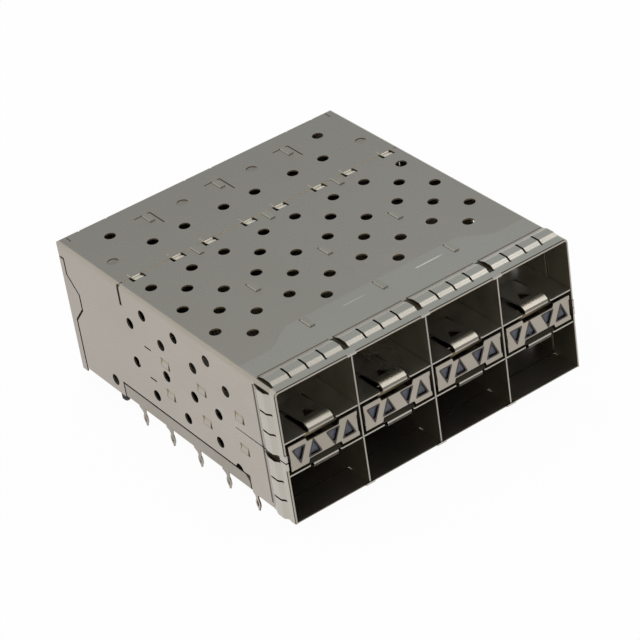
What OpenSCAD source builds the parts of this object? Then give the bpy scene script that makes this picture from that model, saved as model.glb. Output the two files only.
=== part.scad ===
// Stacked cage for small pluggable transceivers: two rows of four ports in a folded sheet-metal shell,
// with gasket spring collars round its mouth, light-pipe windows between the rows, card-edge connectors
// at the back and press-fit pins underneath. Millimetres. X runs across the ports, Y from the port
// openings (-Y) to the rear wall (+Y), and Z = 0 is the face that sits on the circuit board.

/* [Ports] */
// Clear width of one port
port_w = 14; // [13.8:0.05:14.5]
// Clear height of a lower port
lower_port_h = 8.6; // [8.6:0.05:9.5]
// Clear height of an upper port
upper_port_h = 9.15; // [9:0.05:10]
// Height of the core between the rows, over both of its plates
core_h = 6.35; // [6.2:0.05:7.5]
// Depth of a port from its mouth to the nose of its connector
port_depth = 43.9; // [43.5:0.1:44.4]

/* [Shell] */
// Length of the cage from the port openings to the rear wall
cage_len = 63; // [62.6:0.2:66]
// Thickness of the cage sheet
sheet = 0.25; // [0.2:0.01:0.3]
// Outside radius of the long top edges
edge_r = 0.7; // [0.6:0.1:1.2]
// Outside radius of the bends at the rear wall
rear_r = 0.6; // [0.4:0.1:1]
// Place of the seam that splits the top, from the mouth
seam_y = 43.6; // [43:0.1:44]
// Width of the seam across the top
seam_gap = 0.15; // [0.1:0.05:0.25]
// Width of the seam's slots down the side walls
seam_slot = 0.45; // [0.3:0.05:0.6]
// How far those slots run down the side walls
seam_drop = 4; // [3:0.5:5]
// Width of a stitch tongue that crosses the seam
stitch_w = 1.65; // [1.2:0.05:2]
// Width of the fine slits in the sheet
slit_w = 0.15; // [0.1:0.05:0.2]

/* [Vents] */
// Diameter of a vent hole
vent_d = 2; // [1.2:0.1:2.4]
// Spacing of the vent rows along the cage
vent_pitch = 9.1; // [8.6:0.1:9.2]
// Place of the first top vent row, from the mouth
top_vent_y = 15.9; // [15.5:0.1:16.5]
// Offset of a paired vent from the middle of its port
vent_pair = 3.95; // [3:0.05:4.2]
// Place of the first side vent, from the mouth
side_vent_y = 14.65; // [14.5:0.05:15.5]
// Distance of the last full row of top vents from the rear wall
rear_vent = 12.8; // [12.4:0.1:13]
// Distance of the two top vents behind that row from the rear wall
last_vent = 5.9; // [5.6:0.1:6.2]
// Depth of a half-pressed vent at its rear edge
dimple_h = 0.18; // [0.1:0.01:0.2]

/* [Gasket collars] */
// Thickness of the spring strip
spring_t = 0.12; // [0.08:0.01:0.15]
// Distance of the collars' front edge from the mouth
collar_y = 0.2; // [0.1:0.05:0.3]
// Length of a spring finger with its flat front band
finger_len = 5.4; // [5:0.1:6]
// Rise of a finger above the shell
finger_rise = 0.55; // [0.4:0.05:0.7]
// Distance of a gang of top fingers from the walls of its port
gang_gap = 0.4; // [0.3:0.05:0.6]
// How far those gangs stand to the right of the middle of their ports
gang_shift = 0.27; // [0:0.01:0.3]
// Width of the slots between fingers
finger_slot = 0.35; // [0.2:0.05:0.4]
// Gap between the upper and the lower collar on the side walls
collar_gap = 0.25; // [0.2:0.05:0.4]

/* [Core plates] */
// Width of a latch tongue
latch_w = 4.7; // [4:0.1:5.2]
// Width of the slots beside a latch tongue
latch_slot = 0.45; // [0.3:0.05:0.6]
// Length of a latch tongue back to its root
latch_len = 9; // [8:0.5:11]
// Rise of a latch tongue into its port
latch_rise = 1; // [0.8:0.05:1.1]
// Length of the side lances that carry the plates
lance_len = 2.6; // [2:0.1:3]
// Height of those lances
lance_h = 1.55; // [1.2:0.05:1.8]
// Spacing of those lances along the cage
lance_pitch = 10.4; // [10:0.1:11]
// Distance of the first lance from the mouth
lance_y = 10.6; // [10:0.1:11]
// Clearance between the core plates and the walls beside them
plate_fit = 0.05; // [0.03:0.01:0.1]

/* [Face plates and light pipes] */
// Distance of a face plate's ends from the walls of its port
face_gap = 0.5; // [0.4:0.05:0.6]
// Height of its tall ends
face_h = 4.6; // [4.2:0.1:4.9]
// Height of its middle
waist_h = 3.2; // [3:0.05:3.5]
// Width of its middle
waist_w = 6; // [5.6:0.1:6.4]
// Width of a light-pipe window
window_w = 2.05; // [1.8:0.05:2.2]
// Height of a light-pipe window
window_h = 2.4; // [2.2:0.05:2.6]
// Rounding of a window's corners
window_r = 0.22; // [0.15:0.01:0.3]
// Offset of the inner windows from the middle of the plate
window_in = 1.85; // [1.6:0.05:1.95]
// Offset of the outer windows from the middle of the plate
window_out = 4.65; // [4.5:0.05:4.8]
// Clearance round a light pipe
pipe_fit = 0.08; // [0.05:0.01:0.12]
// Thickness of a light pipe behind the windows
pipe_t = 1.5; // [1.2:0.1:1.6]

/* [Connectors] */
// Distance of a connector housing's sides from the walls of its port
housing_gap = 0.4; // [0.3:0.05:0.5]
// Length of a nose in front of its housing
nose_len = 4.7; // [4.4:0.1:5]
// Width of a nose
nose_w = 10.4; // [10:0.1:11]
// Height of a nose
nose_h = 5.2; // [4.8:0.1:5.4]
// Height of the slot that takes the module's card edge
card_slot_h = 1.3; // [1.2:0.05:1.5]
// Distance of the lower card slot above the bottom plate
card_z = 4.65; // [4.4:0.05:4.8]
// Radius of a locating peg
peg_r = 0.8; // [0.6:0.05:0.85]
// Length of a locating peg below the board face
peg_len = 2.6; // [2:0.1:3]
// Spacing of the contacts
contact_pitch = 0.8; // [0.76:0.02:0.82]
// Width of a contact
contact_w = 0.35; // [0.25:0.01:0.4]
// Thickness of a contact
contact_t = 0.2; // [0.15:0.01:0.25]
// Length of a contact tail below the board face
tail_len = 2.4; // [1.8:0.1:2.8]

/* [Press-fit pins] */
// Length of a pin below the board face
pin_len = 3.2; // [2.8:0.1:3.6]
// Width across a pin's spring eye
eye_w = 1.2; // [1:0.05:1.3]
// Width of a pin's neck
neck_w = 0.65; // [0.5:0.05:0.75]
// Distance of the first side pin from the mouth
pin_y = 10.8; // [10.5:0.1:10.9]
// Spacing of the pins
pin_pitch = 8.1; // [7.8:0.05:8.3]

/* [Hidden] */
$fn = 48;
past = 1;                                   // how far a cutter reaches past the face that it opens
columns = 4;
pitch = port_w + sheet;
cage_w = columns * pitch + sheet;
lower_ceiling = sheet + lower_port_h;
upper_floor = lower_ceiling + core_h;
cage_h = upper_floor + upper_port_h + sheet;
mid_z = lower_ceiling + core_h / 2;         // middle of the core
wall_x = cage_w / 2;                        // outer face of a side wall

// Bottom plate
flange_y = [12.1, port_depth + nose_len - 0.3];   // reach of its side flanges along the cage
flange_h = 2.8;
flange_gap = 0.35;                          // gap between a flange and the side wall above it
floor_gap = 0.03;                           // gap between its front part and the side walls
floor_r = 0.5;
side_pins = 5;
divider_pins = 4;

// Vents
rear_vent_y = cage_len - rear_vent;
last_vent_y = cage_len - last_vent;
vent_zs = [lower_ceiling - 3.05, cage_h - 6.75];   // heights of the wall vents, lower and upper
vent_stagger = 3.55;                        // height of the raised vents over those

// Rear wall
foot = 0.8;                                 // how far its lower corners reach below the board face
ear_len = 2.2;                              // width of its folded ears at the board face
ear_reach = 4.9;                            // and at their widest
ear_top = cage_h - 2.7;
corner_w = 1.9;                             // distance of the slits beside its top bend from the side walls
corner_len = 2.3;                           // length of those slits on the top

// Dividers
divider_pin_y = pin_y + pin_pitch;
divider_gap = 0.3;                          // gap between their rear edge and the rear wall
tab_w = 0.9;                                // how far a top tab is bent over
tab_sunk = 0.06;                            // how deep it is coined into the top
tab_fit = 0.05;
tab_len = 2.6;
tab_slack = 0.35;                           // how far its slot stays open behind it
tab_ys = [10.5, 25, 41, cage_len - 7.4];

// Core plates and face plates
plate_zs = [lower_ceiling, upper_floor - sheet];   // undersides of the two plates
latch_ear = waist_w / 2 + 0.05;             // half width of the lip in front of a latch tongue
face_w = port_w - 2 * face_gap;
web_y = port_depth - 1.9;                   // their rear web
leg_h = 3;
leg_len = 9;
leg_r = 0.4;

// Connectors
housing_w = port_w - 2 * housing_gap;
body_y = port_depth + nose_len;             // front face of a housing's body
body_len = 8;
wall = 0.9;                                 // walls of a housing
upper_nose_z = 2 * mid_z - sheet - card_z;
nose_zs = [sheet + card_z, upper_nose_z];
body_h = upper_nose_z + nose_h / 2 + wall;
contacts_across = 10;
contact_row = (contacts_across - 1) * contact_pitch + contact_w;
cavity_w = contact_row + 0.3;
card_slot_w = 9.3;
card_slot_len = 3.8;
pegs = [                                    // the two pegs of a housing stand diagonally
    [peg_r - housing_w / 2, body_y + 2.7],
    [housing_w / 2 - peg_r, body_y + 5.8],
];
leg_pitch = 1.6;                            // spacing of the four rows of contact legs
first_leg_y = body_y + wall + 0.7;
pipe_x = (cavity_w / 2 + housing_w / 2 + 0.3) / 2;
pipe_step = pipe_t + 0.4;                   // spacing of two stacked pipes in the waist of a housing
guide_z = [0.2, 1];                         // underside and top of a tail guide

// Collars
gang_w = port_w - 2 * gang_gap;
band_w = 1.15;                              // flat front band of a collar
top_fingers = 4;
side_fingers = 3;
split_z = 11.7;                             // middle of the gap between the collars and of the slit behind it
split_end = 13.5;                           // where that slit ends in the side walls
hook_y = collar_y + finger_len;             // where a gang's rear edge is hooked into the sheet
ramp_y = [band_w + 0.3, band_w + 1.25];     // foot and crest of a finger's ramp, behind the front edge
ramp_steps = 8;
level_end = finger_len - 1.4;               // end of the level stretch behind the crest
slot_len = finger_len - band_w - 1.3;       // length of the slots between fingers
slit_return = 0.9;                          // how far the slit behind a top gang turns forward at its ends
side_gangs = [                              // reach of the side gangs up the walls
    [0.1, split_z - 0.6],
    [split_z + 0.75, cage_h - 0.85],
];
side_slots = [                              // reach of the slots behind them
    [1.1, split_z - 0.7],
    [split_z + 0.45, cage_h - 1],
];
clasp_h = 1.25;                             // height of the collars' clasps round the mouth's side edges
clasp_w = 0.85;                             // half width of their clasps over its top and bottom edges

// ---- Shared shapes ----

function unit(v) = v / norm(v);
function left_of(a, b) = let (d = unit(b - a)) [-d.y, d.x];
// Miter direction at point i of the path p
function miter(p, i) =
    let (
        last = len(p) - 1,
        before = left_of(p[max(i - 1, 0)], p[max(i, 1)]),
        after = left_of(p[min(i, last - 1)], p[min(i + 1, last)])
    )
    (before + after) / (1 + before * after);
// Outline of a sheet of thickness t that lies to the left of the path p
function band(p, t) = concat(p, [for (i = [len(p) - 1:-1:0]) p[i] + t * miter(p, i)]);
function column_x(k) = (k - (columns + 1) / 2) * pitch;
function divider_x(k) = (k - columns / 2) * pitch;

// A profile drawn in X and Z, as long as len, from the mouth rearward
module along_y(length) translate([0, length, 0]) rotate([90, 0, 0]) linear_extrude(length) children();

// A profile drawn in Y and Z, as wide as width, centred across the cage
module along_x(width) translate([-width / 2, 0, 0]) rotate([90, 0, 90]) linear_extrude(width) children();

module block(low, high) translate(low) cube(high - low);

// What rounds the corner at p off; into points diagonally into the material
module round_off(p, into, r)
    translate(p + into * r / 2)
        difference() {
            square(r + 0.1, center = true);
            translate(into * r / 2) circle(r);
        }

module mirrored_x() {
    children();
    mirror([1, 0, 0]) children();
}

// Moves what is measured from the mouth into the part's own frame
module seated() translate([0, -cage_len / 2, 0]) children();

module in_column(k) seated() translate([column_x(k), 0, 0]) children();

// A straight groove of width w between two points of a profile
module groove(a, b, w) {
    d = b - a;
    translate(a) rotate(atan2(d.y, d.x)) translate([0, -w / 2]) square([norm(d), w]);
    translate(a) circle(w / 2);
    translate(b) circle(w / 2);
}

// A lens w wide and h high, the meeting of two arcs
module lens(w, h) {
    r = (h * h + w * w) / (4 * w);
    intersection_for (s = [-1, 1]) translate([s * (r - w / 2), 0]) circle(r);
}

// Press-fit pin in profile, its neck flared rearward into the sheet that carries it
module pin_profile(root, flare) {
    eye_h = 1.9;
    eye_z = -0.85 - eye_h / 2;
    tip_z = -pin_len;
    difference() {
        union() {
            translate([0, eye_z]) lens(eye_w, eye_h + 0.5);
            polygon([
                [-neck_w / 2 - 0.1, root], [-neck_w / 2 - 0.1, 0], [-neck_w / 2, -0.45],
                [-neck_w / 2, eye_z + 0.5], [neck_w / 2, eye_z + 0.5], [neck_w / 2, -0.8],
                [neck_w / 2 + flare / 4, -0.35], [neck_w / 2 + flare, 0], [neck_w / 2 + flare, root],
            ]);
            polygon([[-0.3, eye_z - 0.4], [0.3, eye_z - 0.4], [0.14, tip_z], [-0.14, tip_z]]);
        }
        translate([0, eye_z]) lens(eye_w * 0.4, eye_h * 0.7);
    }
}

module pin_at(x, y, root, flare = 1)
    translate([x, y, 0]) along_x(sheet) pin_profile(root, flare);

// ---- Shell ----

// Solid block with its long top edges, top rear edge and upright rear edges rounded
module bent_block(w, depth, h, top_r, back_r, low) {
    intersection() {
        along_y(depth) difference() {
            translate([-w / 2, low]) square([w, h - low]);
            for (s = [-1, 1]) round_off([s * w / 2, h], [-s, -1], top_r);
        }
        along_x(w) difference() {
            translate([0, low]) square([depth, h - low]);
            round_off([depth, h], [-1, -1], back_r);
        }
        translate([0, 0, low]) linear_extrude(h - low) difference() {
            translate([-w / 2, 0]) square([w, depth]);
            for (s = [-1, 1]) round_off([s * w / 2, depth], [-s, -1], back_r);
        }
    }
}

module shell_blank() {
    difference() {
        bent_block(cage_w, cage_len, cage_h, edge_r, rear_r, -foot);
        translate([0, -past, 0])
            bent_block(cage_w - 2 * sheet, cage_len + past - sheet, cage_h - sheet, edge_r - sheet,
                rear_r - sheet, -foot - past);
        block([-cage_w, -past, -past], [cage_w, cage_len - ear_len, 0]);
        block([ear_len - wall_x, cage_len - ear_len - past, -past], [wall_x - ear_len, cage_len + past, 0]);
    }
}

module top_hole(x, y, d) translate([x, y, cage_h - sheet - past]) cylinder(d = d, h = sheet + 2 * past);

module top_vents() {
    for (k = [1:columns]) {
        for (row = [0:2]) {
            top_hole(column_x(k), top_vent_y + row * vent_pitch, vent_d);
            for (s = [-1, 1]) {
                top_hole(column_x(k) + s * vent_pair, top_vent_y + (row + 0.5) * vent_pitch, vent_d);
            }
        }
        for (s = [-1, 1]) {
            if (abs(column_x(k) + s * vent_pair) < wall_x - pitch / 2) {
                top_hole(column_x(k) + s * vent_pair, rear_vent_y, vent_d);
            }
        }
    }
    for (k = [1, columns]) top_hole(column_x(k), last_vent_y, vent_d);
}
// Places of the vents that are only half pressed
dimple_places = [
    for (s = [-1, 1]) each [
        [s * (column_x(columns) + vent_pair), rear_vent_y - 0.2],
        [s * pitch / 2, last_vent_y - 0.4],
    ]
];

// What lies between the slanted floor of a half-pressed vent and height h over it
module top_dimples(z, h) {
    half = vent_d / 2;
    for (p = dimple_places) translate([p.x, p.y, z]) intersection() {
        translate([0, 0, -past]) cylinder(d = vent_d, h = h + 2 * past);
        along_x(vent_d) polygon([[-half, 0], [half, -dimple_h], [half, h], [-half, h]]);
    }
}

// Side vents as [place from the mouth, height]
side_vents = [
    for (k = [0:2]) each [
        [side_vent_y + (k + 0.5) * vent_pitch, vent_zs[1] + vent_stagger],
        [side_vent_y + (k + 0.5) * vent_pitch, vent_zs[0]],
    ],
    for (k = [0:3]) [side_vent_y + k * vent_pitch, vent_zs[1]],
    [18.1, mid_z - 0.25], [24.85, mid_z - 0.25], [32.9, mid_z - 0.25], [42.1, mid_z - 1.8],
    [51.1, 2.3], [14.5, 3],
];

// Centre line of the slot round the folded ear of the rear wall, as [distance from the rear, height]
ear_line = [
    [-past, ear_top], [corner_w, ear_top], [corner_w, ear_top - 3.1], [ear_reach, ear_top - 5.9],
    [ear_reach, ear_top - 8.9], [ear_len, ear_top - 12], [ear_len, -past],
];

module side_cuts() {
    along_x(2 * wall_x + 2 * past) {
        for (v = side_vents) translate(v) circle(d = vent_d);
        translate([seam_y, cage_h - seam_drop]) square([seam_slot, seam_drop - edge_r]);
        polygon([
            [-past, split_z - slit_w], [split_end, split_z - slit_w / 2],
            [split_end, split_z + slit_w / 2], [-past, split_z + slit_w],
        ]);
        translate([flange_y[0] - flange_gap, -past])
            square([flange_y[1] - flange_y[0] + 2 * flange_gap, past + flange_h + flange_gap]);
        for (z = plate_zs) {
            for (k = [0:2]) {
                translate([lance_y + k * lance_pitch, z - lance_h]) square([lance_len, lance_h + sheet]);
            }
            translate([lance_y + 2.5 * lance_pitch, z - 0.05]) square([1.9, sheet + 0.05]);
        }
        for (z = side_slots) translate([hook_y - 0.04, z[0]]) square([spring_t + 0.25, z[1] - z[0]]);
    }
}

module ear_cuts() {
    mirrored_x() translate([wall_x, 0, 0]) along_x(2 * corner_w) {
        for (i = [0:len(ear_line) - 2]) {
            a = ear_line[i];
            b = ear_line[i + 1];
            groove([cage_len - a.x, a.y], [cage_len - b.x, b.y], 0.4);
        }
    }
}

// Sheet lances that lean in under the edges of the core plates
module side_lances() {
    lean = 0.3;
    for (z = plate_zs) {
        for (k = [0:2]) {
            path = [[wall_x, z - lance_h - 0.1], [wall_x - lean, z]];
            mirrored_x() translate([0, lance_y + k * lance_pitch + finger_slot, 0])
                along_y(lance_len - finger_slot) polygon([
                    path[0], path[1], path[1] - [sheet, 0], path[0] - [sheet, 0],
                ]);
        }
    }
}

// Notched stitch tongues of the front panel, which dip under the rear panel
stitch_start = seam_y - 1.3;
stitch_notches = [0.6, 0.35];
stitch_xs = [for (k = [1:columns]) for (s = [-1, 1]) column_x(k) + s * vent_pair + 0.35];

module stitch_notch_cuts() {
    z = [cage_h - sheet - past, cage_h + past];
    for (x = stitch_xs) {
        left = x - stitch_w / 2;
        block([left - stitch_notches[0], stitch_start, z[0]],
            [x + stitch_w / 2 + stitch_notches[1], seam_y + seam_gap, z[1]]);
        // a fine slit that lets the rear panel lift over the tongue
        block([left - slit_w, seam_y, z[0]], [left, seam_y + 1.5, z[1]]);
    }
}

module stitches() {
    dip = sheet + 0.05;
    path = [
        [seam_y + 2, cage_h - sheet - dip], [seam_y + 0.3, cage_h - sheet - dip],
        [stitch_start + 0.2, cage_h - sheet], [stitch_start - 0.3, cage_h - sheet],
    ];
    for (x = stitch_xs) translate([x, 0, 0]) along_x(stitch_w) polygon(band(path, -sheet));
}

// Slots for the dividers' tabs, with the coined pockets that the bent tabs lie in
module top_tab_cuts() {
    for (k = [1:columns - 1]) {
        for (y = tab_ys) {
            x = divider_x(k);
            block([x - sheet / 2 - tab_fit, y - tab_fit, cage_h - sheet - past],
                [x + sheet / 2 + tab_fit, y + tab_len + tab_slack, cage_h + past]);
            block([x, y, cage_h - tab_sunk], [x + tab_w, y + tab_len, cage_h + past]);
        }
    }
}

// Fine slits behind the rear tabs and at the rear corners, which free the sheet for folding
module top_slits() {
    z = [cage_h - 2 * sheet, cage_h + past];
    for (k = [1:columns - 1]) {
        x = divider_x(k);
        block([x - 1.5, cage_len - 4.75, z[0]], [x + 1.5 + slit_w, cage_len - 4.75 + slit_w, z[1]]);
        block([x + 1.5, cage_len - 9.1, z[0]], [x + 1.5 + slit_w, cage_len - 4.75, z[1]]);
    }
    mirrored_x() block([wall_x - corner_w, cage_len - corner_len, ear_top],
        [wall_x - corner_w + slit_w, cage_len + past, cage_h + past]);
    block([-wall_x + edge_r, seam_y, z[0]], [wall_x - edge_r, seam_y + seam_gap, z[1]]);
    mirrored_x() block([wall_x - edge_r - past, seam_y, cage_h - edge_r - 0.1],
        [wall_x + past, seam_y + seam_gap, cage_h + past]);
}

// Relief notches of the rear wall's top bend
module bend_notches() {
    for (x = [column_x(1), 0, column_x(columns)]) {
        for (s = [-1, 1]) {
            translate([x + s * 2.7, cage_len, cage_h]) rotate([45, 0, 0])
                cube([0.4, 0.9, 2 * past], center = true);
        }
    }
}

module rear_vents() {
    for (k = [1:columns]) {
        for (z = [vent_zs[0], mid_z, vent_zs[1]]) {
            for (x = [-vent_pair, 0, vent_pair]) {
                translate([column_x(k) + x, cage_len - sheet - past, z + (x == 0 ? 1.8 : 0)])
                    rotate([-90, 0, 0]) cylinder(d = vent_d, h = sheet + 2 * past);
            }
        }
    }
}

module shell_pin() {
    room = flange_y[0] - flange_gap - pin_y - neck_w / 2;
    mirrored_x() pin_at(wall_x - sheet / 2, pin_y, 1, room - 0.05);
}

module cage_shell() color([0.62, 0.61, 0.57]) seated() {
    difference() {
        shell_blank();
        top_vents();
        top_dimples(cage_h, past);
        side_cuts();
        ear_cuts();
        stitch_notch_cuts();
        top_tab_cuts();
        top_slits();
        top_hook_slots(cage_h - sheet / 2);
        bend_notches();
        rear_vents();
    }
    top_dimples(cage_h - sheet, sheet / 2);
    stitches();
    side_lances();
    shell_pin();
}

// ---- Bottom plate ----

module floor_profile() {
    half = wall_x;
    difference() {
        translate([-half, 0]) square([2 * half, flange_h]);
        for (s = [-1, 1]) round_off([s * half, 0], [-s, 1], floor_r);
        difference() {
            translate([-half + sheet, sheet]) square([2 * (half - sheet), flange_h]);
            for (s = [-1, 1]) round_off([s * (half - sheet), sheet], [-s, 1], floor_r - sheet);
        }
    }
}

module bottom_plate() color([0.6, 0.59, 0.55]) seated() {
    front = [wall_x - sheet - floor_gap, flange_y[0]];
    chamfer = 1;
    difference() {
        union() {
            translate([0, flange_y[0], 0]) along_y(flange_y[1] - flange_y[0]) floor_profile();
            block([-front.x, collar_y, 0], [front.x, front.y + floor_r, sheet]);
            mirrored_x() for (i = [1:side_pins - 1]) {
                pin_at(wall_x - sheet / 2, pin_y + i * pin_pitch, floor_r + 0.1);
            }
        }
        // chamfered front corners of the flanges
        along_x(cage_w + 2 * past) polygon([
            [flange_y[0] - past, flange_h - chamfer - past], [flange_y[0] + chamfer + past, flange_h + past],
            [flange_y[0] - past, flange_h + past],
        ]);
        top_hook_slots(sheet / 2);
        // slots that the dividers' pins pass through
        for (k = [1:columns - 1]) {
            for (i = [0:divider_pins - 1]) {
                y = divider_pin_y + i * pin_pitch;
                block([divider_x(k) - sheet / 2 - tab_fit, y - neck_w / 2 - 0.2, -past],
                    [divider_x(k) + sheet / 2 + tab_fit, y + neck_w / 2 + 1.1, sheet + past]);
            }
        }
    }
}

// ---- Dividers ----

// Slots that hold the side tabs of the core plates, as lower front corners in Y and Z
plate_slots = [for (z = plate_zs) for (k = [0:2]) [lance_y + k * lance_pitch, z]];

module divider(k) color([0.58, 0.57, 0.53]) seated() translate([divider_x(k), 0, 0]) {
    foot_y = flange_y[1];
    difference() {
        union() {
            along_x(sheet) {
                translate([0.05, sheet])
                    square([cage_len - sheet - divider_gap - 0.05, cage_h - 2 * sheet]);
                translate([foot_y + tab_fit, 0])
                    square([cage_len - sheet - divider_gap - foot_y - tab_fit, 2 * sheet]);
            }
            for (i = [0:divider_pins - 1]) pin_at(0, divider_pin_y + i * pin_pitch, 2 * sheet);
        }
        for (p = plate_slots) {
            block([-past, p.x - tab_fit, p.y - tab_fit],
                [past, p.x + lance_len + tab_fit, p.y + sheet + tab_fit]);
        }
        // vents between the columns
        along_x(1) for (z = vent_zs) for (i = [0:3])
            translate([side_vent_y + (i + 0.5) * vent_pitch, z]) circle(d = vent_d);
    }
    for (y = tab_ys) translate([0, y, cage_h - sheet]) top_tab();
}

// A tab that stands through the top and is bent over onto it
module top_tab() {
    bend = 0.05;
    lie = sheet - tab_sunk;                  // height of the bent tab's underside over the top's underside
    along_y(tab_len) {
        translate([-sheet / 2, -sheet]) square([sheet, lie + sheet + bend]);
        difference() {
            translate([-sheet / 2, lie]) square([tab_w + sheet / 2, sheet]);
            round_off([-sheet / 2, lie + sheet], [1, -1], 0.2);
        }
    }
}

// ---- Core plates: upper plate, rear web and lower plate in one folded sheet ----

// Section of a latch tongue along the port, over the top of its plate
latch_path = [
    [0.85, -1.3], [0.45, -0.8], [0.2, -0.4], [0.1, 0.05], [0.22, latch_rise - 0.55],
    [0.75, latch_rise - 0.21], [0.95, latch_rise - 0.11], [1.15, latch_rise - 0.04],
    [1.4, latch_rise - 0.005], [1.7, latch_rise - 0.01], [latch_len + 0.2, 0],
];
latch_hole = [[-1.2, 2.6], [1.2, 2.6], [0.15, 4.7], [-0.15, 4.7]];

module plate_outline() {
    half = port_w / 2 - plate_fit;
    difference() {
        union() {
            translate([-half, 0.1]) square([2 * half, web_y - 0.1]);
            for (k = [0:2]) {
                translate([-half - 0.1, lance_y + k * lance_pitch]) square([2 * half + 0.2, lance_len]);
            }
        }
        opening = latch_w / 2 + latch_slot;
        translate([-opening, -past]) square([2 * opening, latch_len + past]);
        for (s = [-1, 1]) round_off([s * opening, 0.1], [s, 1], 0.35);
    }
}

// Upper plate with its latch tongue; its top face lies at Z = 0
module latch_plate() {
    translate([0, 0, -sheet]) linear_extrude(sheet) plate_outline();
    difference() {
        union() {
            along_x(latch_w) polygon(band(latch_path, -sheet));
            along_x(2 * latch_ear) polygon(band([for (i = [0:2]) latch_path[i]], -sheet));
        }
        translate([0, 0, -past]) linear_extrude(latch_rise + 2 * past) polygon(latch_hole);
    }
}

module core_plates(k) color([0.6, 0.59, 0.54]) in_column(k) {
    translate([0, 0, upper_floor]) latch_plate();
    translate([0, 0, lower_ceiling]) mirror([0, 0, 1]) latch_plate();
    half = port_w / 2 - plate_fit;
    difference() {
        block([-half, web_y - sheet, lower_ceiling], [half, web_y, upper_floor]);
        mirrored_x() block([pipe_x - pipe_t / 2 - pipe_fit, 0, mid_z - (pipe_step + pipe_t) / 2 - pipe_fit],
            [pipe_x + pipe_t / 2 + pipe_fit, cage_len, mid_z + (pipe_step + pipe_t) / 2 + pipe_fit]);
    }
}

// ---- Face plate with its windows and side legs ----

// Outline of a triangle with its point up, its corners rounded to r
module window(w, h, r) {
    corners = [[-w / 2, -h / 2], [w / 2, -h / 2], [0, h / 2]];
    slope = norm([w / 2, h]);
    side = r * (slope + w / 2) / h;           // inset of a lower centre from its corner
    top = r * slope / (w / 2);                // drop of the upper centre below the tip
    centres = [corners[0] + [side, r], corners[1] + [-side, r], corners[2] - [0, top]];
    out = [[0, -r], r * [h, w / 2] / slope, r * [-h, w / 2] / slope];
    polygon([
        centres[0] + out[0], centres[1] + out[0], centres[1] + out[1],
        centres[2] + out[1], centres[2] + out[2], centres[0] + out[2],
    ]);
    for (c = centres) translate(c) circle(r);
}

// The four windows of a column, alternately point down and point up
module windows(clearance) {
    places = [[-window_out, -1], [-window_in, 1], [window_in, -1], [window_out, 1]];
    for (p = places) {
        translate([p.x, mid_z]) mirror([0, p.y < 0 ? 1 : 0])
            window(window_w - 2 * clearance, window_h - 2 * clearance, window_r);
    }
}

module face_outline() {
    e = face_w / 2;
    t = face_h / 2;
    m = waist_h / 2;
    slant = 0.25;
    bow = 14;                                 // radius of the hollow outer ends
    difference() {
        translate([0, mid_z]) polygon([
            [-e, -t], [-waist_w / 2 - slant, -t], [-waist_w / 2, -m], [waist_w / 2, -m],
            [waist_w / 2 + slant, -t], [e, -t], [e, t], [waist_w / 2 + slant, t],
            [waist_w / 2, m], [-waist_w / 2, m], [-waist_w / 2 - slant, t], [-e, t],
        ]);
        for (s = [-1, 1]) translate([s * (e + bow - 0.12), mid_z]) circle(bow, $fn = 180);
    }
}

module face_plate(k) color([0.69, 0.65, 0.61]) in_column(k) {
    e = face_w / 2 - 0.12;
    kick = port_w / 2 - plate_fit - face_w / 2 + 0.12;
    leg = [
        [e - 2, 0], [e - leg_r, 0], [e - leg_r / 3, leg_r / 3], [e, leg_r],
        [e, leg_len - 2], [e + kick, leg_len],
    ];
    difference() {
        union() {
            along_y(sheet) face_outline();
            mirrored_x() translate([0, 0, mid_z - leg_h / 2]) linear_extrude(leg_h) polygon(band(leg, sheet));
        }
        translate([0, -past, 0]) along_y(sheet + 2 * past) windows(0);
        mirrored_x() corner_round(e);
    }
}

// Rounds the fold between a face plate and its leg
module corner_round(e) {
    translate([0, 0, mid_z - leg_h / 2]) linear_extrude(leg_h) round_off([e + 0.12, 0], [-1, 1], 0.3);
}

// ---- Light pipes: four pipes in one clear moulding ----

module light_pipes(k) color([0.45, 0.47, 0.55, 0.8]) in_column(k) {
    recess = 0.35;                            // how far the windows' ends lie behind the face
    split_y = 24;                             // where the pipes part, first up and down, then sideways
    step = 6;
    half = pipe_t / 2;
    translate([0, recess, 0]) along_y(split_y - recess) windows(pipe_fit);
    for (y = [leg_len + 1.5, split_y - 1.5]) {
        block([-window_out - 0.6, y, mid_z - 0.6], [window_out + 0.6, y + 1, mid_z + 0.6]);
    }
    for (pipe = [[window_out, -1, 1.2], [window_in, 1, 3.3]]) {
        x = pipe[0];
        z = mid_z + pipe[1] * pipe_step / 2;
        y = [split_y - 0.2, split_y, split_y + step, split_y + 2 * step];
        mirrored_x() {
            translate([x, 0, 0]) along_x(pipe_t) polygon([
                [y[0], mid_z - half], [y[1], mid_z - half], [y[2], z - half], [y[2] + 0.1, z - half],
                [y[2] + 0.1, z + half], [y[2], z + half], [y[1], mid_z + half], [y[0], mid_z + half],
            ]);
            translate([0, 0, z - half]) linear_extrude(pipe_t) polygon([
                [x - half, y[2]], [x + half, y[2]], [pipe_x + half, y[3]], [pipe_x - half, y[3]],
            ]);
            translate([pipe_x, 0, 0]) along_x(pipe_t) pipe_end(y[3], z, body_y + body_len + pipe[2]);
        }
    }
}

// Rear stretch of a pipe at height z, which turns down to the board at y1 behind the connector
module pipe_end(y0, z, y1) {
    half = pipe_t / 2;
    low = 0.4;
    polygon([
        [y0, z - half], [y1, z - half], [y1, low], [y1 + pipe_t, low],
        [y1 + pipe_t, z - half * 0.2], [y1 + pipe_t * 0.4, z + half], [y0, z + half],
    ]);
}

// ---- Connectors ----

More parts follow.
